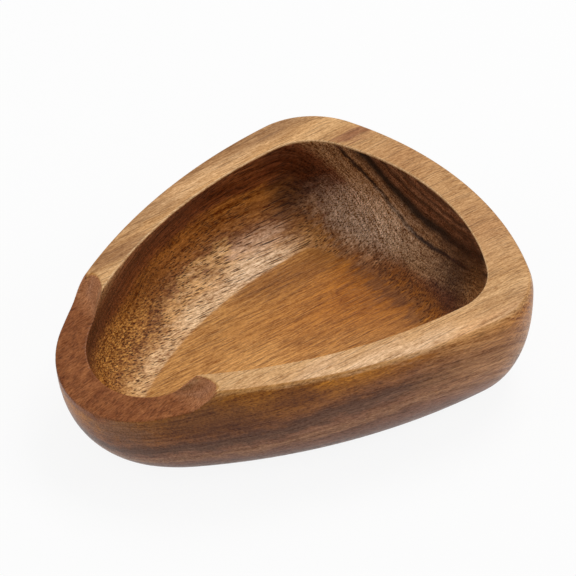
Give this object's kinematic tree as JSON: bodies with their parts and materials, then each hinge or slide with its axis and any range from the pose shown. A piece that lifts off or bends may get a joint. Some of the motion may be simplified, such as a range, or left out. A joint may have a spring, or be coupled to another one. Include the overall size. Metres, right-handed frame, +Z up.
{
  "type": "coffee dosing tray",
  "caption": "Rounded triangular wooden tray with a deep coved hollow and a sloping lip round its narrow tip, for weighing coffee beans and pouring them out.",
  "frame": {"origin": "centre of the base's bounding box, on the surface that the tray stands on", "axes": "+X along the tray from the pouring tip to the broad back, +Z up out of the hollow, +Y across the tray"},
  "size_m": [0.1198, 0.0964, 0.03],
  "materials": {
    "oiled_acacia": "satin oil over visible grain"
  },
  "bodies": {
    "root": {"tray": "oiled_acacia"}
  },
  "joints": []
}
